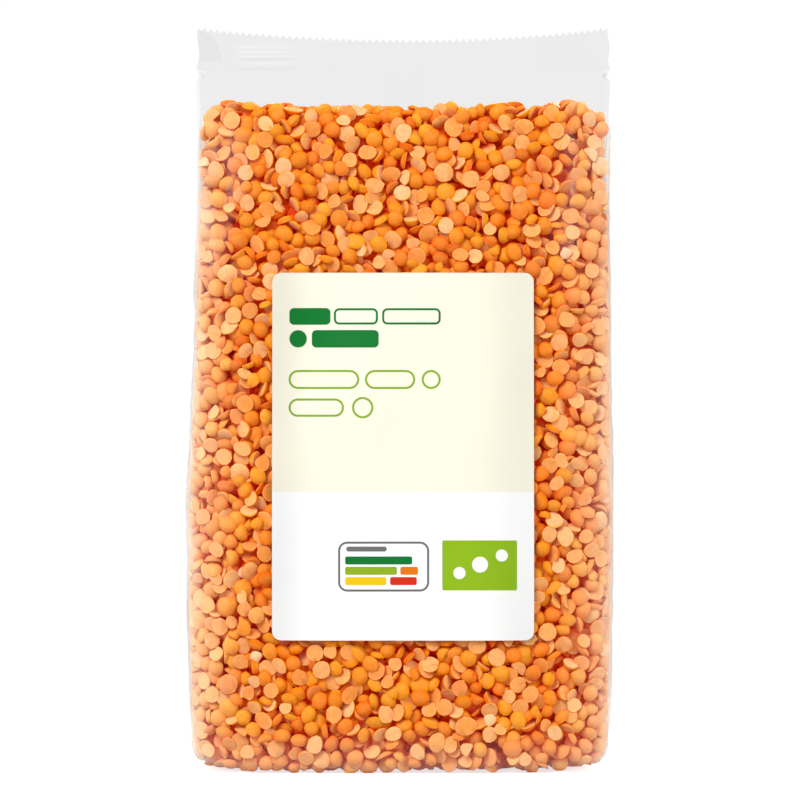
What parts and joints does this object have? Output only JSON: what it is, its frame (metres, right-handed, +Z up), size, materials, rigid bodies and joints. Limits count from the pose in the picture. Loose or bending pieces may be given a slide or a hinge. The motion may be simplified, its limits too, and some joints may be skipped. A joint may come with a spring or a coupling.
{
  "type": "bag of lentils",
  "caption": "Clear side-gusset bag of split red lentils with a flat pinked top seal, a lap seal down the back and a plain front label, standing on its folded base.",
  "frame": {"origin": "middle of the underside, on the surface that the bag stands on", "axes": "+Z up along the bag to its top seal, -Y out of the labelled front, +X to the right as seen from the front"},
  "size_m": [0.1134, 0.0405, 0.1978],
  "materials": {
    "lentils": "satin",
    "film": "gloss",
    "label_paper": "satin",
    "label_print": "satin"
  },
  "bodies": {
    "root": {"bag": "lentils", "label": "label_paper"}
  },
  "joints": []
}
